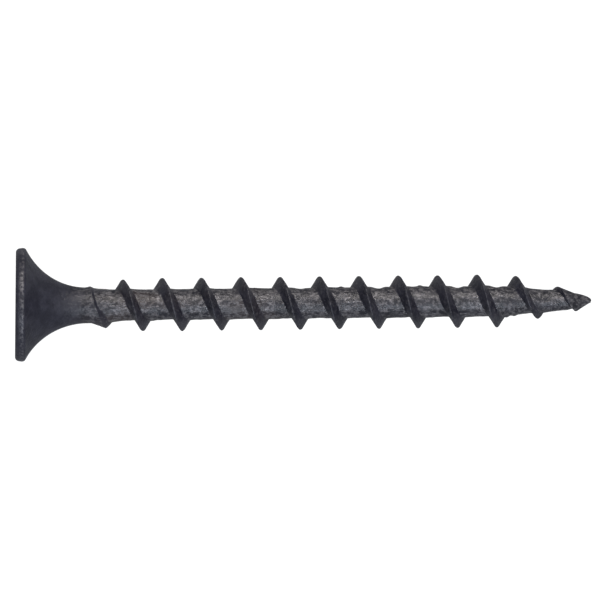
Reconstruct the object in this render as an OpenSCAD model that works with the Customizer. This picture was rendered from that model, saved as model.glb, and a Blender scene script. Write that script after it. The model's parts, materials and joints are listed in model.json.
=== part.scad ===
// Bugle-head wood screw with a coarse right-hand thread and a gimlet point.
// Millimetres. The origin is the centre of the head's flat face and +X runs along the axis to the point.
// The screw is one forging. Each node is a named region of it, and neighbours meet face to face.
// Every region is drawn standing on +Z from the head's face, and lay_down() turns it onto +X.

/* [Overall] */
// Length from the head's flat face to the tip
length = 41; // [30:1:60]

/* [Head] */
// Diameter over the rim
head_d = 8.1; // [6.6:0.1:10]
// Height of the rim, from the flat face to the start of the bugle curve
rim_h = 0.68; // [0.5:0.02:0.9]
// Radius rolled onto the rim's edge at the flat face
rim_edge_r = 0.3; // [0.1:0.05:0.4]
// Length of the head, from the flat face to where the bugle curve meets the neck
head_len = 5.1; // [4.2:0.1:6.2]

/* [Cross recess] */
// Diameter over the four wings at the flat face
wing_d = 4.7; // [3.9:0.1:5.6]
// Diameter over the wings at the bottom of the recess
wing_bottom_d = 2.2; // [1.8:0.1:2.6]
// Depth of the wings
wing_depth = 2.5; // [2:0.1:3]
// Width of each wing
wing_w = 1.1; // [0.8:0.05:1.35]
// Diameter of the round well between the wings, at the flat face
well_d = 2.7; // [2.2:0.1:3.3]
// Slope of the conical bottom, from flat
well_bottom_angle = 28; // [20:1:34]

/* [Shank] */
// Diameter of the plain neck
neck_d = 2.56; // [2.2:0.02:3.1]
// Length of the plain neck before it steps down to the core
neck_len = 0.3; // [0.1:0.1:1.2]
// Length of the cone that steps down from the neck to the core
step_len = 1.2; // [0.4:0.1:1.8]
// Diameter of the core at the thread's roots
core_d = 2.2; // [1.8:0.02:2.68]

/* [Thread] */
// Diameter over the crests
major_d = 3.78; // [3.15:0.01:4.6]
// Distance from one crest to the next along the axis, one turn of a single start
pitch = 2.8; // [2.3:0.1:3.4]
// Angle of each flank from the plane square to the axis
flank_angle = 30; // [24:1:34]
// Width of the flat on the crest
crest_w = 0.08; // [0.06:0.02:0.16]
// Distance along the axis over which the crest rises from the neck to full height
run_in_len = 5.4; // [3:0.1:8]
// Place along the axis of a crest on the +Y side
crest_at_y = 2.06; // [0:0.02:2.8]

/* [Point] */
// Length of the point, from the end of the cylindrical core to the tip
point_len = 6.5; // [5:0.1:8]
// Length of the final cone, at the end of the point
nose_len = 1.7; // [1:0.1:2.2]
// Diameter of the core where the final cone starts
nose_d = 1.32; // [0.9:0.02:1.5]
// Radius of the tip
tip_r = 0.16; // [0.08:0.01:0.2]
// Height of the thread along the point, as a share of its full height
point_thread_share = 0.36; // [0.25:0.01:0.6]
// Distance over which the thread falls to that share
run_out_len = 3.8; // [2:0.1:4.6]
// Distance over which what is left of the thread fades into the tip
fade_len = 0.9; // [0.5:0.1:1.4]

/* [Hidden] */
$fn = 96;

// Rings of the thread in one turn
rings_per_turn = 36;
// Share of the core's radius at which the ridge starts inside the core, before the core is cut from it
ridge_root_share = 0.75;
// How far a cutting shape runs past the face that it cuts
cut_past = 0.5;

head_r = head_d / 2;
neck_r = neck_d / 2;
core_r = core_d / 2;
major_r = major_d / 2;
nose_r = nose_d / 2;
thread_h = major_r - core_r;

// The bugle curve is the circle that leaves the rim's lower corner and meets the neck at a tangent
bugle_run = head_len - rim_h;
bugle_rise = head_r - neck_r;
bugle_r = (bugle_run * bugle_run + bugle_rise * bugle_rise) / (2 * bugle_rise);

step_start = head_len + neck_len;
core_start = step_start + step_len;
point_start = length - point_len;
nose_start = length - nose_len;

// The final cone meets the round tip at a tangent
tip_centre = length - tip_r;
nose_reach = tip_centre - nose_start;
nose_angle = atan(nose_r / nose_reach) - asin(tip_r / norm([nose_reach, nose_r]));
tip_join_r = tip_r * cos(nose_angle);
tip_join_at = tip_centre + tip_r * sin(nose_angle);

// Radius of the core, or of the point's taper, at a place along the axis
function core_r_at(along) =
    along < step_start ? neck_r
    : along < core_start ? neck_r + (core_r - neck_r) * (along - step_start) / step_len
    : along < point_start ? core_r
    : along < nose_start ? core_r + (nose_r - core_r) * (along - point_start) / (nose_start - point_start)
    : max(tip_r, nose_r - (along - nose_start) * tan(nose_angle));

// Smooth rise from 0 to 1
function ease(share) = let (u = min(1, max(0, share))) u * u * (3 - 2 * u);

// Radius of the crest at a place along the axis: run-in, full height, run-out and the fade at the nose
function crest_r_at(along) =
    along < point_start
    ? let (u = min(1, max(0, (along - head_len) / run_in_len)))
      neck_r + (major_r - neck_r) * (1 - pow(1 - u, 3))
    : let (share = 1 - (1 - point_thread_share) * ease((along - point_start) / run_out_len),
           fade = ease((length - tip_r - along) / fade_len))
      core_r_at(along) + thread_h * share * fade;

// Corners of the ridge where its crest is at one place on the helix
function ridge_ring(along) =
    let (turn = 360 * (along - crest_at_y) / pitch,
         crest_r = crest_r_at(along),
         root_r = ridge_root_share * core_r_at(along),
         crest_half = crest_w / 2,
         root_half = crest_half + (crest_r - root_r) * tan(flank_angle))
    [for (corner = [[root_r, -root_half], [crest_r, -crest_half], [crest_r, crest_half], [root_r, root_half]])
        [corner[0] * cos(turn), corner[0] * sin(turn), along + corner[1]]];

module lay_down() rotate([90, 0, 90]) children();

// Half outline of the head, with the rolled edge and the bugle curve as true arcs
module head_outline() {
    difference() {
        square([head_r, head_len]);
        translate([neck_r + bugle_r, head_len]) circle(r = bugle_r);
        difference() {
            translate([head_r - rim_edge_r, -cut_past]) square([rim_edge_r + cut_past, rim_edge_r + cut_past]);
            translate([head_r - rim_edge_r, rim_edge_r]) circle(r = rim_edge_r);
        }
    }
}

// Cross recess: four wings inside a taper, a round well between them and a conical bottom
module cross_recess() {
    taper = (wing_d - wing_bottom_d) / 2 / wing_depth;
    intersection() {
        translate([0, 0, -cut_past])
            cylinder(h = wing_depth + cut_past, r1 = wing_d / 2 + taper * cut_past, r2 = wing_bottom_d / 2);
        union()
            for (turn = [0, 90])
                rotate([0, 0, turn]) translate([-wing_d, -wing_w / 2, -cut_past])
                    cube([2 * wing_d, wing_w, wing_depth + cut_past]);
    }
    translate([0, 0, -cut_past])
        cylinder(h = wing_depth + cut_past, d1 = well_d, d2 = wing_bottom_d);
    translate([0, 0, wing_depth])
        cylinder(h = wing_bottom_d / 2 * tan(well_bottom_angle), d1 = wing_bottom_d, d2 = 0);
}

module neck_body() {
    translate([0, 0, head_len]) cylinder(h = neck_len, r = neck_r);
    translate([0, 0, step_start]) cylinder(h = step_len, r1 = neck_r, r2 = core_r);
}

module core_body() {
    translate([0, 0, core_start]) cylinder(h = point_start - core_start, r = core_r);
}

module point_body() {
    rotate_extrude() {
        polygon([
            [0, point_start],
            [core_r, point_start],
            [nose_r, nose_start],
            [tip_join_r, tip_join_at],
            [0, tip_join_at]
        ]);
        intersection() {
            translate([0, tip_centre]) circle(r = tip_r);
            translate([0, tip_join_at]) square(tip_r);
        }
    }
}

// The whole helical ridge, with its roots buried inside the core
module ridge() {
    ring_step = pitch / rings_per_turn;
    ring_count = floor((length - tip_r - head_len) / ring_step);
    rings = [for (i = [0 : ring_count - 1]) ridge_ring(head_len + i * ring_step)];
    corners = len(rings[0]);
    last = corners * (ring_count - 1);
    sides = [
        for (i = [0 : ring_count - 2], c = [0 : corners - 1])
            let (a = i * corners + c, b = i * corners + (c + 1) % corners)
            each [[a, a + corners, b], [b, a + corners, b + corners]]
    ];
    caps = [[0, 1, 2, 3], [last + 3, last + 2, last + 1, last]];
    polyhedron(points = [for (ring = rings) each ring], faces = concat(sides, caps), convexity = 20);
}

module bugle_head() {
    color([0.19, 0.19, 0.21])
        lay_down()
            difference() {
                rotate_extrude() head_outline();
                cross_recess();
            }
}

module neck() {
    color([0.22, 0.21, 0.22]) lay_down() neck_body();
}

module core() {
    color([0.30, 0.29, 0.29]) lay_down() core_body();
}

module gimlet_point() {
    color([0.25, 0.24, 0.25]) lay_down() point_body();
}

module thread() {
    color([0.15, 0.15, 0.17])
        lay_down()
            difference() {
                ridge();
                rotate_extrude() head_outline();
                neck_body();
                core_body();
                point_body();
            }
}

bugle_head();
neck();
core();
thread();
gimlet_point();
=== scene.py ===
import json
import math

import bpy
import numpy as np
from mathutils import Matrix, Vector


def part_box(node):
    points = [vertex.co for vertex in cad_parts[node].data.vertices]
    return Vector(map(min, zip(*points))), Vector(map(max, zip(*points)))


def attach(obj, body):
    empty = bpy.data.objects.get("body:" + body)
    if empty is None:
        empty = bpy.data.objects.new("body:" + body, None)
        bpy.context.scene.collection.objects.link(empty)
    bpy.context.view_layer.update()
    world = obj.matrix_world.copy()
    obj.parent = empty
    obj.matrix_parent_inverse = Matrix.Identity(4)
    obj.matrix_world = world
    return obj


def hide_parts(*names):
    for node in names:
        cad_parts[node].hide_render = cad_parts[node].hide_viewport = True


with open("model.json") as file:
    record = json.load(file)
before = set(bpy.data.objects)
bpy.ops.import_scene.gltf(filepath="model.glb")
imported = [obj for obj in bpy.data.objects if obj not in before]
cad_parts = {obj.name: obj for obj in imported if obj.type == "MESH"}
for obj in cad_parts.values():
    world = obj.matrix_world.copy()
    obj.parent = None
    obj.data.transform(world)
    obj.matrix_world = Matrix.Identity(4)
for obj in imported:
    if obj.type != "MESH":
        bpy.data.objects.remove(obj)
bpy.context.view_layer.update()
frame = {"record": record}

# ---------------------------------------------------------------- sizes, in millimetres
# Angles round the axis are counted from the +Y side towards +Z, as the thread winds.
# Places along the thread are in turns: turn 0 is CREST_AT_Y along the axis, on the +Y side.
MM = 0.001


def node_reach(node):
    """How far a CAD node reaches along the axis, and its largest radius."""
    low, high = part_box(node)
    return high.x / MM, max(high.y, high.z) / MM


HEAD_LEN, HEAD_R = node_reach("bugle_head")
CORE_START, NECK_R = node_reach("neck")
POINT_START, CORE_R = node_reach("core")
MAJOR_R = node_reach("thread")[1]
LENGTH = node_reach("gimlet_point")[0]

mounts = {mount["name"]: mount for mount in frame["record"]["mounts"]}
WING_R = mounts["cross_recess"]["dims"]["r_mm"]
WING_DEPTH = mounts["cross_recess"]["dims"]["length_mm"]

# Rim: a round at the flat face and a crown behind it, joined by a line that slopes a few degrees
RIM_H = 0.68
RIM_EDGE_R = 0.3
RIM_CROWN_X = 0.5
RIM_CROWN_R = 0.29
RIM_SLOPE_DEGREES = 9
CROWN_END_DEGREES = 28

# The first points of the bugle curve lie inside the crown and are left out
BUGLE_POINTS_IN_CROWN = 3

# The whole head is turned a little about the neck
HEAD_LEAN = math.tan(math.radians(1.1))

# Cross recess
WING_W = 1.1
WING_W_LOSS = 0.12
WELL_R = 1.35
RECESS_BOTTOM_R = 1.1
RECESS_BOTTOM_H = 0.58
RECESS_EDGE_R = 0.13
RECESS_CORNER_R = 0.12
LEAST_SINE = 0.05
FIRST_RING_SHARE = 0.05
MOUTH_START_DEGREES = 15

# Unevenness that forging left: width of the bumps and height, and the depth over which it sets in
FORGED_RELIEF = {0.9: 0.004}
FORGED_BLEND = 0.5

# Wear on the head: at the rim's widest line, where it is partly a painted highlight, and round the mouth of
# the recess
RIM_WEAR_AND_HIGHLIGHT_W = 0.02
RECESS_WEAR_DEPTH = 0.2
RECESS_WEAR_W = 0.15
HEAD_WEAR_AND_HIGHLIGHT = 0.7
HEAD_WEAR_AND_HIGHLIGHT_VARIES = 0.3
WEAR_AND_PAINTED_LIGHT_PATCH = 0.5

# Neck: the step down to the core follows the first turn of the thread
STEP_MIDDLE = 5.85
STEP_SWAY = 0.57
STEP_FALL = 0.9
# The burnished colour sets in on the bugle and is full past the neck; over the bugle and the neck it is
# partly a painted highlight, where the round neck catches the light
BURNISH_AND_HIGHLIGHT_START = 2.8
BURNISH_AND_HIGHLIGHT_LEN = 4.2

# Thread. Flanks are measured from the plane square to the axis.
PITCH = 2.8
CREST_AT_Y = 2.06
FLANK_ANGLE = math.radians(29)
CREST_EDGE_R = 0.055
ROOT_FILLET_R = 0.05
FULL_SECTION_H = 0.35
LEAST_SECTION = 0.05
RIDGE_FOOT = 0.5
FOOT_GUESS_R = 0.6 * CORE_R
FOOT_LIMIT = LENGTH - 0.1
RUN_IN_LEN = 5.4
FIRST_TURN = 0.92
LAST_X = LENGTH - 0.35

# The ridge's edges go on a little under the shank's surface, so that no gap can show
SUNK_REACH = 0.06
SUNK_DEPTH = 0.03
HEART_FOOT_SHARE = 0.5
HEART_R_SHARE = 0.8

# The first turn has a long slant towards the head and a steeper one towards the point
FIRST_FLANK_ANGLE = math.radians(82)
FIRST_BACK_ANGLE = math.radians(50)
FIRST_FLANK_END = 1.25
FLANK_SETTLES = 0.75

# The last turn slants into the nose
LAST_FLANK_ANGLE = math.radians(67)
LAST_FLANK_START = 12.6
LAST_FLANK_GROWS = 0.35

# The first turns come late, the very first is bent, and the last ones run ahead
DRIFT = 0.41
DRIFT_END = CREST_AT_Y + 2 * PITCH
DRIFT_POWER = 1.5
FIRST_BEND = 0.2
FIRST_BEND_AT = 1.22
FIRST_BEND_LEN = 0.13
POINT_DRIFT = 0.16
POINT_DRIFT_START = POINT_START + 1
POINT_DRIFT_LEN = 1.5

# Unevenness of the crest's height and of the whole ridge: width of the bumps, and height
CREST_RELIEF = {1.6: 0.02, 0.4: 0.008}
RIDGE_RELIEF = {0.35: 0.012}
RELIEF_SHIFTS = (0, 7, 13)

# Wear and burnish on the thread; on the slanted flanks they are partly painted light
CREST_WEAR = 0.2
CREST_WEAR_W = 0.04
SLANT_WEAR_AND_PAINTED_LIGHT = 0.3
FLANK_BURNISH = 0.35

# Lands between the turns: they swell up to each ridge and fall away slowly behind it
LAND_RISE = 0.06
LAND_DROP = 0.01
LAND_FALL = 0.45
LAND_BLEND = 3
LAND_RELIEF = {0.8: 0.02, 0.28: 0.014}
RELIEF_BLEND_HEAD = 1.5
RELIEF_BLEND_TIP = 1
LAND_WEAR = 0.5
LAND_WEAR_PATCH = 0.6

# Point
NOSE_START = LENGTH - 1.7
NOSE_R = 0.66
NOSE_POWER = 0.48
POINT_THREAD_SHARE = 0.36
RUN_OUT_START = POINT_START + 0.5
RUN_OUT_LEN = 3
FADE_LEN = 0.9
POINT_SAG = 0.02
POINT_SAG_START = POINT_START + 1
POINT_SAG_LEN = 3.5

# Flat spots that the rolling dies left on the +Y side: turns, and depth
LAND_DENTS = {6.5: 0.07, 8.5: 0.13, 10.5: 0.13, 11.5: 0.13}
DENT_HALF_LEN = 0.55
DENT_HALF_ANGLE = math.radians(40)

# Small flakes of steel that the dies lapped over the lands: turns, and angle in degrees
LAND_FLAKES = {1.17: 0, 7.55: 0, 9.55: -5, 11.75: 178, 11.95: 190, 4.4: 172, 6.6: 188}
FLAKE_H = 0.08
FLAKE_HALF_LEN = 0.3
FLAKE_HALF_ANGLE = math.radians(16)

# Mesh steps
ROUND_HEAD = 512
ROUND_SHANK = 192
RINGS_PER_TURN = 120
SHANK_STEP = 0.075
BOTTOM_RINGS = 8
WALL_RINGS = 16
MOUTH_RINGS = 6
FACE_RINGS = 9
BUGLE_RINGS = 64
EDGE_RINGS = 10
CROWN_RINGS = 12
NOSE_RINGS = 60
SECTION_ROUND = 5
SECTION_FLANK = 6
FOOT_TRIES = 4
SHARP_ANGLE = math.radians(50)


def ease(share):
    """Smooth rise from 0 to 1."""
    share = np.clip(share, 0, 1)
    return share * share * (3 - 2 * share)


# ---------------------------------------------------------------- random relief, the same every run
LATTICE_SIDE = 32
LATTICE = np.random.default_rng(41).uniform(-1, 1, (LATTICE_SIDE,) * 3)


def noise(points, size):
    """Smooth random heights between -1 and 1, with bumps about one size across."""
    cell = np.floor(points / size).astype(int)
    part = ease(points / size - cell)
    height = 0
    for corner in np.ndindex(2, 2, 2):
        weight = np.prod(np.where(corner, part, 1 - part), axis=-1)
        near = (cell + corner) % LATTICE_SIDE
        height = height + weight * LATTICE[near[..., 0], near[..., 1], near[..., 2]]
    return height


def relief(points, bumps):
    """Random heights in millimetres, from the width of each kind of bump and its height."""
    return sum(height * noise(points, width) for width, height in bumps.items())


def place(x, radius, angle):
    """Points from cylinder coordinates. The point of the screw sags a little to -Y."""
    sag = POINT_SAG * ease((x - POINT_SAG_START) / POINT_SAG_LEN)
    return np.stack([x + 0 * angle, radius * np.cos(angle) - sag, radius * np.sin(angle)], axis=-1)


# ---------------------------------------------------------------- the shank under the thread
def mound(x, angle, turns, middle, half_len, half_angle):
    """A smooth mound of height 1, a number of turns along the screw and at an angle round it."""
    along = ease(1 - np.abs(x - CREST_AT_Y - PITCH * turns) / half_len)
    swing = np.abs((angle - middle + math.pi) % math.tau - math.pi)
    return along * ease(1 - swing / half_angle)


def land_height(x, angle):
    """Height of the land over the plain core: the swell beside the ridges, the dents and the flakes."""
    after_crest = ((x - CREST_AT_Y) / PITCH - angle / math.tau) % 1 * PITCH
    behind = np.exp(-np.maximum(0, after_crest - RIDGE_FOOT) / LAND_FALL)
    before = ease((after_crest - PITCH + RIDGE_FOOT) / RIDGE_FOOT)
    rolled = ease((x - HEAD_LEN) / LAND_BLEND) * ease((NOSE_START - x) / LAND_BLEND)
    land = rolled * (LAND_RISE * np.maximum(behind, before) - LAND_DROP)
    for turns, depth in LAND_DENTS.items():
        land = land - depth * mound(x, angle, turns, 0, DENT_HALF_LEN, DENT_HALF_ANGLE)
    for turns, degrees in LAND_FLAKES.items():
        flake = mound(x, angle, turns, math.radians(degrees), FLAKE_HALF_LEN, FLAKE_HALF_ANGLE)
        land = land + FLAKE_H * flake
    return land


def shank_radius(x, angle):
    """Radius of the neck, the core or the point at a place along and round the axis."""
    step_at = STEP_MIDDLE - STEP_SWAY * np.cos(angle)
    neck_rise = (NECK_R - CORE_R) * np.exp(-np.maximum(0, x - step_at) / STEP_FALL)
    taper = CORE_R + (NOSE_R - CORE_R) * np.clip((x - POINT_START) / (NOSE_START - POINT_START), 0, 1)
    nose = np.clip((LENGTH - x) / (LENGTH - NOSE_START), 0, 1) ** NOSE_POWER
    return (taper + neck_rise + land_height(x, angle)) * nose


def shank_point(x, angle):
    """A point on the shank's surface, with the unevenness that rolling left."""
    radius = shank_radius(x, angle)
    rough = ease((x - HEAD_LEN) / RELIEF_BLEND_HEAD) * ease((LENGTH - x) / RELIEF_BLEND_TIP)
    return place(x, radius + rough * relief(place(x, radius, angle), LAND_RELIEF), angle)


# ---------------------------------------------------------------- mesh making
def tube(name, rings):
    """A closed mesh through rings of points, closed by a fan at each end."""
    count, around = rings.shape[:2]
    ends = rings[[0, -1]].mean(axis=1)
    points = np.concatenate([rings.reshape(-1, 3), ends]) * MM
    here = np.arange(count * around).reshape(count, around)
    beside = np.roll(here, -1, axis=1)
    sides = np.stack([here[:-1], beside[:-1], beside[1:], here[1:]], axis=-1).reshape(-1, 4)
    first = count * around
    last = first + 1
    start = [(first, b, a) for a, b in zip(here[0].tolist(), beside[0].tolist())]
    finish = [(last, a, b) for a, b in zip(here[-1].tolist(), beside[-1].tolist())]
    mesh = bpy.data.meshes.new(name)
    mesh.from_pydata(points.tolist(), [], sides.tolist() + start + finish)
    mesh.validate()
    mesh.shade_smooth()
    mesh.set_sharp_from_angle(angle=SHARP_ANGLE)
    piece = bpy.data.objects.new(name, mesh)
    bpy.context.scene.collection.objects.link(piece)
    return piece


def mark(piece, name, amounts):
    """Stores an amount from 0 to 1 at each point, for the material. The two fan centres stay at 0."""
    stored = piece.data.attributes.new(name, "FLOAT", "POINT")
    stored.data.foreach_set("value", np.append(amounts.ravel(), [0, 0]).astype(np.float32))


def arc(centre, reach, start, end, steps):
    """Points of an arc in the plane of the axis, as (x, radius) rows. Angles are in degrees."""
    turn = np.radians(np.linspace(start, end, steps))
    return np.stack([centre[0] + reach * np.cos(turn), centre[1] + reach * np.sin(turn)], axis=-1)


def steps_between(start, end, step):
    """Evenly spaced places from start to end, no further apart than the step."""
    return np.linspace(start, end, math.ceil((end - start) / step) + 1)


def rolled_and_highlight_share(points):
    """How far the dies burnished the surface: none at the head's face, all of it past the neck. It sets in
    on the bugle, and over the bugle and the neck its lighter colour is partly a painted highlight.
    """
    return ease((points[..., 0] - BURNISH_AND_HIGHLIGHT_START) / BURNISH_AND_HIGHLIGHT_LEN)


def peak(distance, width):
    """A bell-shaped peak of height 1 where the distance is 0."""
    return np.exp(-((distance / width) ** 2))


# ---------------------------------------------------------------- head
def bugle_outline():
    """Outline of the head from the edge of its flat face to the neck, as (x, radius) rows."""
    run = HEAD_LEN - RIM_H
    rise = HEAD_R - NECK_R
    bugle_r = (run * run + rise * rise) / (2 * rise)
    lowest = math.degrees(math.asin(run / bugle_r))
    slope = math.radians(RIM_SLOPE_DEGREES)
    join = 90 + RIM_SLOPE_DEGREES
    step = RIM_EDGE_R - RIM_CROWN_R + (RIM_CROWN_X - RIM_EDGE_R) * math.sin(slope)
    crown_middle = HEAD_R - RIM_CROWN_R
    edge_middle = crown_middle - step / math.cos(slope)
    edge = arc((RIM_EDGE_R, edge_middle), RIM_EDGE_R, 180, join, EDGE_RINGS)
    crown = arc((RIM_CROWN_X, crown_middle), RIM_CROWN_R, join, CROWN_END_DEGREES, CROWN_RINGS)
    bugle = arc((HEAD_LEN, NECK_R + bugle_r), bugle_r, -90 - lowest, -90, BUGLE_RINGS)
    return np.concatenate([edge, crown, bugle[BUGLE_POINTS_IN_CROWN:]])


def smaller(a, b, blend):
    """The smaller of two lengths, with the corner between them rounded."""
    return (a + b - np.sqrt((a - b) ** 2 + blend * blend)) / 2


def cross_radius(angle, depth):
    """Radius of the cross recess's outline at a depth: four wings and the round well between them."""
    share = min(depth / WING_DEPTH, 1)
    wing = np.abs((angle + math.pi / 4) % (math.pi / 2) - math.pi / 4)
    side = WING_W / 2 * (1 - WING_W_LOSS * share) / np.maximum(np.sin(wing), LEAST_SINE)
    tip = WING_R + (RECESS_BOTTOM_R - WING_R) * share
    well = WELL_R + (RECESS_BOTTOM_R - WELL_R) * share
    return -smaller(-smaller(side, tip, RECESS_CORNER_R), -well, RECESS_CORNER_R)


def recess_rings(angle):
    """Rings of the recess: its conical bottom, its walls and the round edge of its mouth."""
    rings = []
    for share in np.linspace(FIRST_RING_SHARE, 1, BOTTOM_RINGS)[:-1]:
        depth = WING_DEPTH + RECESS_BOTTOM_H * (1 - share)
        rings.append(place(depth, share * cross_radius(angle, WING_DEPTH), angle))
    for depth in np.linspace(WING_DEPTH, RECESS_EDGE_R, WALL_RINGS):
        rings.append(place(depth, cross_radius(angle, depth), angle))
    for turn in np.radians(np.linspace(MOUTH_START_DEGREES, 90, MOUTH_RINGS)):
        grow = RECESS_EDGE_R * (1 - math.cos(turn))
        rings.append(place(RECESS_EDGE_R * (1 - math.sin(turn)), cross_radius(angle, 0) + grow, angle))
    return rings


def leaning(points):
    """The head leans a little: it is turned about the neck, and its +Y edge moves towards the point."""
    from_neck = np.maximum(0, HEAD_LEN - points[..., 0])
    share = ease(from_neck / (HEAD_LEN - RIM_H))
    shift = HEAD_LEAN * np.stack([points[..., 1] * share, from_neck * share, 0 * share], axis=-1)
    return points + shift


def make_head():
    """The head, from the bottom of its recess over the flat face and the rim to the neck."""
    angle = np.linspace(0, math.tau, ROUND_HEAD, endpoint=False)
    rings = recess_rings(angle)
    mouth_r = cross_radius(angle, 0)
    face_r = mouth_r + RECESS_EDGE_R
    outline = bugle_outline()
    for share in np.linspace(0, 1, FACE_RINGS)[1:-1]:
        rings.append(place(0, face_r + (outline[0][1] - face_r) * share, angle))
    for x, radius in outline:
        rings.append(place(x, radius, angle))
    rings = np.array(rings)
    depth = rings[..., 0]
    radius = np.hypot(rings[..., 1], rings[..., 2])
    # The ring along the rim's widest line is partly wear and partly a painted highlight: the rim's bright
    # streak
    rim_wear_and_highlight = peak(radius - HEAD_R, RIM_WEAR_AND_HIGHLIGHT_W)
    at_recess = peak(depth, RECESS_WEAR_DEPTH) * peak(radius - mouth_r, RECESS_WEAR_W)
    uneven = relief(rings, FORGED_RELIEF) * ease(depth / FORGED_BLEND)
    along = np.array([1, 0, 0])
    piece = tube("screw_head", leaning(rings + uneven[..., None] * along))
    patches = HEAD_WEAR_AND_HIGHLIGHT + HEAD_WEAR_AND_HIGHLIGHT_VARIES * noise(rings, WEAR_AND_PAINTED_LIGHT_PATCH)
    mark(piece, "wear_and_painted_light", np.maximum(rim_wear_and_highlight, at_recess) * patches)
    mark(piece, "rolled", rolled_and_highlight_share(rings))
    return piece


# ---------------------------------------------------------------- neck, core and point
def make_shank(name, places):
    """One stretch of the shank, through rings at these places along the axis."""
    angle = np.linspace(0, math.tau, ROUND_SHANK, endpoint=False)
    rings = shank_point(places[:, None], angle[None, :])
    piece = tube(name, rings)
    mark(piece, "wear_and_painted_light", LAND_WEAR * (1 + noise(rings, LAND_WEAR_PATCH)))
    mark(piece, "rolled", rolled_and_highlight_share(rings))
    return piece


def make_neck():
    """The plain neck and the step down to the core."""
    return make_shank("screw_neck", steps_between(HEAD_LEN, CORE_START, SHANK_STEP))


def make_core():
    """The core that carries the thread."""
    return make_shank("screw_core", steps_between(CORE_START, POINT_START, SHANK_STEP))


def make_point():
    """The taper and the round nose, whose rings crowd together towards the tip."""
    taper = steps_between(POINT_START, NOSE_START, SHANK_STEP)
    nose_len = LENGTH - NOSE_START
    nose = LENGTH - nose_len * (1 - np.linspace(0, 1, NOSE_RINGS)[1:-1]) ** 2
    return make_shank("screw_point", np.concatenate([taper, nose]))


# ---------------------------------------------------------------- thread
def crest_x(turns):
    """Place of the crest after a number of turns. It starts late and bent, and runs ahead on the point."""
    x = CREST_AT_Y + PITCH * turns
    late = DRIFT * max(0, (DRIFT_END - x) / PITCH) ** DRIFT_POWER
    bend = FIRST_BEND * peak(turns - FIRST_BEND_AT, FIRST_BEND_LEN)
    ahead = POINT_DRIFT * ease((x - POINT_DRIFT_START) / POINT_DRIFT_LEN)
    return x + late - bend + ahead


def crest_radius(x, base):
    """Radius of the crest: run-in behind the neck, full height, run-out and the fade at the nose."""
    run_in = min(1, max(0, (x - HEAD_LEN) / RUN_IN_LEN))
    if x < POINT_START:
        return NECK_R + (MAJOR_R - NECK_R) * (1 - (1 - run_in) ** 3)
    share = 1 - (1 - POINT_THREAD_SHARE) * ease((x - RUN_OUT_START) / RUN_OUT_LEN)
    return base + (MAJOR_R - CORE_R) * share * ease((LAST_X - x) / FADE_LEN)


def ridge_half(x, angle, crest_r, side, flank_angle):
    """Half of the ridge's section, crest to foot, as (x, radius) rows. Side is +1 towards the point."""
    foot = RIDGE_FOOT * min(1, (crest_r - FOOT_GUESS_R) / (MAJOR_R - FOOT_GUESS_R))
    for _ in range(FOOT_TRIES):
        base = float(shank_radius(x + side * foot, angle))
        scale = float(np.clip((crest_r - base) / FULL_SECTION_H, LEAST_SECTION, 1))
        edge_r = CREST_EDGE_R * scale
        fillet_r = ROOT_FILLET_R * scale
        apex = crest_r + edge_r * (1 / math.sin(flank_angle) - 1)
        slant = (apex - base - fillet_r) * math.tan(flank_angle) + fillet_r / math.cos(flank_angle)
        foot = max(edge_r, min(slant, FOOT_LIMIT - x))
    turn = np.linspace(0, math.pi / 2 - flank_angle, SECTION_ROUND)
    crest = np.stack([edge_r * np.sin(turn), crest_r - edge_r * (1 - np.cos(turn))], axis=-1)
    fillet = np.stack([foot - fillet_r * np.sin(turn), base + fillet_r * (1 - np.cos(turn))], axis=-1)
    fillet = fillet[::-1]
    shares = np.linspace(0, 1, SECTION_FLANK)[1:-1, None]
    flank = crest[-1] + (fillet[0] - crest[-1]) * shares
    edge = [foot + SUNK_REACH * scale, base - SUNK_DEPTH]
    heart = [foot * HEART_FOOT_SHARE, base * HEART_R_SHARE]
    half = np.concatenate([crest, flank, fillet, [edge, heart]])
    return np.stack([x + side * half[:, 0], half[:, 1]], axis=-1)


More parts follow.
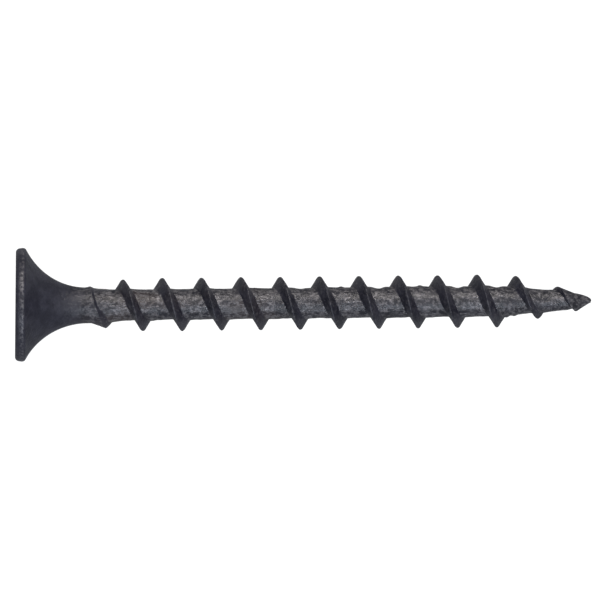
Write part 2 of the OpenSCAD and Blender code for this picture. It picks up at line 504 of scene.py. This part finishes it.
def make_thread():
    """The ridge, one section after another along the helix, from its start under the head to the nose."""
    last_turn = (LAST_X - CREST_AT_Y) / PITCH
    rings = []
    slanted_and_painted_light = []
    for turns in steps_between(FIRST_TURN, last_turn, 1 / RINGS_PER_TURN):
        x = crest_x(turns)
        angle = math.tau * turns
        base = float(shank_radius(x, angle))
        crest_r = crest_radius(x, base)
        crest_r += float(relief(place(np.array(x), crest_r, np.array(angle)), CREST_RELIEF))
        early = 1 - ease((turns - FIRST_FLANK_END) / FLANK_SETTLES)
        late = ease((turns - LAST_FLANK_START) / LAST_FLANK_GROWS)
        front = (FIRST_FLANK_ANGLE - FLANK_ANGLE) * early
        back = (FIRST_BACK_ANGLE - FLANK_ANGLE) * early + (LAST_FLANK_ANGLE - FLANK_ANGLE) * late
        to_point = ridge_half(x, angle, crest_r, 1, FLANK_ANGLE + back)
        to_head = ridge_half(x, angle, crest_r, -1, FLANK_ANGLE + front)
        section = np.concatenate([to_point[:0:-1], to_head])
        rings.append(place(section[:, 0], section[:, 1], np.array(angle)))
        # The slanted flanks get more bare steel and the full burnished colour: partly wear, partly painted
        # light on the slant
        slanted_and_painted_light.append(np.where(section[:, 0] > x, late, early))
    rings = np.array(rings)
    rings += np.stack([relief(rings + shift, RIDGE_RELIEF) for shift in RELIEF_SHIFTS], axis=-1)
    radius = np.hypot(rings[..., 1], rings[..., 2])
    crests = radius.max(axis=1, keepdims=True)
    worn_and_painted_light = np.maximum(CREST_WEAR * peak(radius - crests, CREST_WEAR_W), SLANT_WEAR_AND_PAINTED_LIGHT * np.array(slanted_and_painted_light))
    piece = tube("screw_thread", rings)
    mark(piece, "wear_and_painted_light", worn_and_painted_light * (1 + noise(rings, WEAR_AND_PAINTED_LIGHT_PATCH)))
    mark(piece, "rolled", np.maximum(FLANK_BURNISH, slanted_and_painted_light) * rolled_and_highlight_share(rings))
    return piece


# ---------------------------------------------------------------- shader nodes
def node(tree, kind, **settings):
    """A new shader node with these settings and input values."""
    made = tree.nodes.new(kind)
    for key, value in settings.items():
        if hasattr(made, key):
            setattr(made, key, value)
        else:
            made.inputs[key.replace("_", " ")].default_value = value
    return made


def pattern(tree, across, stretch=1, detail=3, roughness=0.6):
    """Noise with spots of this width in millimetres, drawn out along the axis by stretch."""
    where = node(tree, "ShaderNodeTexCoord")
    scaled = node(tree, "ShaderNodeMapping")
    per_metre = 1 / (across * MM)
    scaled.inputs["Scale"].default_value = (per_metre / stretch, per_metre, per_metre)
    spots = node(tree, "ShaderNodeTexNoise", Scale=1.0, Detail=detail, Roughness=roughness)
    tree.links.new(where.outputs["Object"], scaled.inputs["Vector"])
    tree.links.new(scaled.outputs["Vector"], spots.inputs["Vector"])
    return spots.outputs["Fac"]


def ramp(tree, value, band, start, end):
    """Goes smoothly from start to end as the value goes through a band."""
    made = node(tree, "ShaderNodeMapRange", interpolation_type="SMOOTHSTEP")
    for key, number in zip(("From Min", "From Max", "To Min", "To Max"), (*band, start, end)):
        made.inputs[key].default_value = number
    tree.links.new(value, made.inputs["Value"])
    return made.outputs["Result"]


def mix(tree, share, colour_a, colour_b):
    """Mixes two colours; each is a socket or a colour."""
    made = node(tree, "ShaderNodeMix", data_type="RGBA")
    tree.links.new(share, made.inputs["Factor"])
    for socket, colour in ((made.inputs[6], colour_a), (made.inputs[7], colour_b)):
        if isinstance(colour, tuple):
            socket.default_value = (*colour, 1)
        else:
            tree.links.new(colour, socket)
    return made.outputs[2]


def arithmetic(tree, operation, a, b):
    """The result of an operation on two values; each is a socket or a number."""
    made = node(tree, "ShaderNodeMath", operation=operation)
    for socket, value in zip(made.inputs, (a, b)):
        if isinstance(value, (int, float)):
            socket.default_value = value
        else:
            tree.links.new(value, socket)
    return made.outputs["Value"]


def bump(tree, heights):
    """Chains bumps; each is a (height socket, depth in millimetres) pair."""
    normal = None
    for height, depth in heights:
        made = node(tree, "ShaderNodeBump", Strength=1.0, Distance=depth * MM)
        tree.links.new(height, made.inputs["Height"])
        if normal:
            tree.links.new(normal, made.inputs["Normal"])
        normal = made.outputs["Normal"]
    return normal


def stored_amount(tree, name):
    """The amount that mark() stored under this name."""
    return node(tree, "ShaderNodeAttribute", attribute_name=name).outputs["Fac"]


# ---------------------------------------------------------------- black phosphate
MATT_DARK = (0.011, 0.011, 0.019)
MATT_LIGHT = (0.021, 0.021, 0.032)
LAND_DARK = (0.006, 0.006, 0.010)
LAND_LIGHT = (0.026, 0.025, 0.032)
LAND_BROWN = (0.033, 0.024, 0.023)
CRYSTAL = (0.080, 0.075, 0.082)
# Bare steel of scuffs and wear, which also paints the rim's highlight and the light on the slanted flanks
BARE_STEEL_AND_PAINTED_LIGHT = (0.22, 0.21, 0.22)

# Width of each pattern's spots, in millimetres
CLOUD_W = 0.9
STAIN_W = 2.6
CRYSTAL_W = 0.28
SCUFF_W = 0.2
STAIN_STRETCH = 2
SCUFF_STRETCH = 3.5

# Each mark sets in over a band of its pattern's value, and covers at most this share of the coat
CLOUD_BAND = (0.38, 0.62)
STAIN_BAND = (0.52, 0.7)
STAIN_COVER = 0.7
CRYSTAL_BAND = (0.5, 0.66)
CRYSTAL_COVER = 0.7
PIT_BAND = (0.34, 0.46)
PIT_COVER = 0.7
SCUFF_BAND = (0.55, 0.68)
SCUFF_COVER = 0.5
RUB_BAND = (0.45, 0.62)
RUB_COVER = 0.6

# Shine
BARE_METALLIC = 0.7
GRAIN_BAND = (0.3, 0.7)
SMOOTHEST = 0.34
ROUGHEST = 0.52
ROLLED_SMOOTHER = 0.05
BARE_SMOOTHER = 0.2
SPECULAR = 0.4

# Depth of the bumps, in millimetres
CRYSTAL_DEPTH = 0.05
SCUFF_DEPTH = 0.04
CLOUD_DEPTH = 0.05


def black_phosphate():
    """Black phosphate on steel: matt where it was forged, burnished and scuffed where the dies rolled it.
    The bare steel on the rim's widest line, the lighter slanted flanks and the burnish setting in over the
    bugle and the neck are partly painted light.
    """
    material = bpy.data.materials.new("black_phosphate")
    material.use_nodes = True
    tree = material.node_tree
    shader = tree.nodes["Principled BSDF"]
    clouds = pattern(tree, CLOUD_W, detail=4)
    stains = pattern(tree, STAIN_W, stretch=STAIN_STRETCH, detail=2)
    crystals = pattern(tree, CRYSTAL_W, detail=4, roughness=0.7)
    drawn = pattern(tree, SCUFF_W, stretch=SCUFF_STRETCH, detail=2)
    # Burnish; where it sets in over the bugle and the neck, and on the slanted flanks, its lighter colour is
    # partly painted light
    rolled = stored_amount(tree, "rolled")
    wear_and_painted_light = stored_amount(tree, "wear_and_painted_light")

    cloudy = ramp(tree, clouds, CLOUD_BAND, 0, 1)
    land = mix(tree, cloudy, LAND_DARK, LAND_LIGHT)
    land = mix(tree, ramp(tree, stains, STAIN_BAND, 0, STAIN_COVER), land, LAND_BROWN)
    land = mix(tree, ramp(tree, crystals, CRYSTAL_BAND, 0, CRYSTAL_COVER), land, CRYSTAL)
    coat = mix(tree, rolled, mix(tree, cloudy, MATT_DARK, MATT_LIGHT), land)
    coat = mix(tree, ramp(tree, crystals, PIT_BAND, PIT_COVER, 0), coat, MATT_DARK)
    scuffs = arithmetic(tree, "MULTIPLY", rolled, ramp(tree, drawn, SCUFF_BAND, 0, SCUFF_COVER))
    # Bare steel where it is worn; on the rim's widest line it is partly a painted highlight, on the slanted
    # flanks partly painted light
    rubbed_and_painted_light = arithmetic(tree, "MULTIPLY", wear_and_painted_light, ramp(tree, crystals, RUB_BAND, 0, RUB_COVER))
    bare_and_painted_light = arithmetic(tree, "MAXIMUM", scuffs, rubbed_and_painted_light)
    tree.links.new(mix(tree, bare_and_painted_light, coat, BARE_STEEL_AND_PAINTED_LIGHT), shader.inputs["Base Color"])
    tree.links.new(arithmetic(tree, "MULTIPLY", bare_and_painted_light, BARE_METALLIC), shader.inputs["Metallic"])

    uneven = ramp(tree, crystals, GRAIN_BAND, SMOOTHEST, ROUGHEST)
    burnished = arithmetic(tree, "MULTIPLY", rolled, ROLLED_SMOOTHER)
    polished = arithmetic(tree, "MULTIPLY", bare_and_painted_light, BARE_SMOOTHER)
    smoother = arithmetic(tree, "ADD", burnished, polished)
    tree.links.new(arithmetic(tree, "SUBTRACT", uneven, smoother), shader.inputs["Roughness"])
    shader.inputs["Specular IOR Level"].default_value = SPECULAR
    marks = [(crystals, CRYSTAL_DEPTH), (scuffs, SCUFF_DEPTH), (clouds, CLOUD_DEPTH)]
    tree.links.new(bump(tree, marks), shader.inputs["Normal"])
    return material


# ---------------------------------------------------------------- floor
FLOOR_REACH = 2200
SHEET_GREY = (0.16, 0.16, 0.16, 1)
SHEET_GLOW = 0.95


def light_table():
    """Matt white sheet of the floor, lit from below."""
    material = bpy.data.materials.new("light_table")
    material.use_nodes = True
    shader = material.node_tree.nodes["Principled BSDF"]
    shader.inputs["Base Color"].default_value = SHEET_GREY
    shader.inputs["Roughness"].default_value = 1
    shader.inputs["Specular IOR Level"].default_value = 0
    shader.inputs["Emission Color"].default_value = (1, 1, 1, 1)
    shader.inputs["Emission Strength"].default_value = SHEET_GLOW
    return material


def make_floor():
    """A flat sheet under the rim, which is the screw's widest part. Glossy rays pass it by."""
    corners = [(-1, -1), (1, -1), (1, 1), (-1, 1)]
    points = [(x * FLOOR_REACH * MM, y * FLOOR_REACH * MM, -HEAD_R * MM) for x, y in corners]
    mesh = bpy.data.meshes.new("floor")
    mesh.from_pydata(points, [], [(0, 1, 2, 3)])
    mesh.materials.append(light_table())
    floor = bpy.data.objects.new("floor", mesh)
    floor.visible_glossy = False
    bpy.context.scene.collection.objects.link(floor)


# ---------------------------------------------------------------- lights
WARM = (1.0, 0.945, 0.89)
COOL = (0.81, 0.89, 1.0)
NEUTRAL = (0.94, 0.95, 1.0)
ROOM = (0.94, 0.97, 1.0, 1)
ROOM_STRENGTH = 0.3


def sun(name, side_tilt, length_tilt, strength, colour, softness):
    """A broad, distant light. Tilts are from straight above, towards +Y and towards +X, in degrees."""
    data = bpy.data.lights.new(name, "SUN")
    data.energy = strength
    data.color = colour
    data.angle = math.radians(softness)
    lamp = bpy.data.objects.new(name, data)
    towards = Vector((math.tan(math.radians(length_tilt)), math.tan(math.radians(side_tilt)), 1))
    lamp.rotation_euler = towards.to_track_quat("Z", "Y").to_euler()
    bpy.context.scene.collection.objects.link(lamp)


def make_lights():
    """A warm light from one side, a cool one from the other, a broad one above and a dim room."""
    sun("key", side_tilt=46, length_tilt=0, strength=1.85, colour=WARM, softness=12)
    sun("fill", side_tilt=-40, length_tilt=0, strength=1.5, colour=COOL, softness=12)
    sun("overhead", side_tilt=0, length_tilt=20, strength=1.0, colour=NEUTRAL, softness=60)
    world = bpy.data.worlds.new("studio")
    world.use_nodes = True
    background = world.node_tree.nodes["Background"]
    background.inputs["Color"].default_value = ROOM
    background.inputs["Strength"].default_value = ROOM_STRENGTH
    bpy.context.scene.world = world
    bpy.context.scene.view_settings.view_transform = "Standard"


# ---------------------------------------------------------------- camera
VIEW_WIDTH = 1.045 * LENGTH
AIM_X = LENGTH / 2 - 0.17
AIM_Y = 0.15
ROLL = math.radians(0.6)
LENS = 1000
SIGHT_END_M = 5


def make_camera():
    """Far above the rim through a long lens, so that the head's face is edge-on, to the left."""
    data = bpy.data.cameras.new("camera")
    data.lens = LENS
    data.clip_end = SIGHT_END_M
    distance = VIEW_WIDTH * data.lens / data.sensor_width
    camera = bpy.data.objects.new("camera", data)
    aside = AIM_X - RIM_H / 2
    across = Vector((math.cos(ROLL), -math.sin(ROLL), 0))
    camera.location = (Vector((AIM_X, AIM_Y, distance)) - across * aside) * MM
    camera.rotation_euler = (0, -math.atan(aside / distance), -ROLL)
    bpy.context.scene.collection.objects.link(camera)
    bpy.context.scene.camera = camera


# ---------------------------------------------------------------- the scene
coating = black_phosphate()
parts = [
    (make_head(), "bugle_head"),
    (make_neck(), "neck"),
    (make_core(), "core"),
    (make_thread(), "thread"),
    (make_point(), "gimlet_point"),
]
for piece, cad_node in parts:
    piece.data.materials.append(coating)
    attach(piece, "root")
    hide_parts(cad_node)

make_floor()
make_lights()
make_camera()
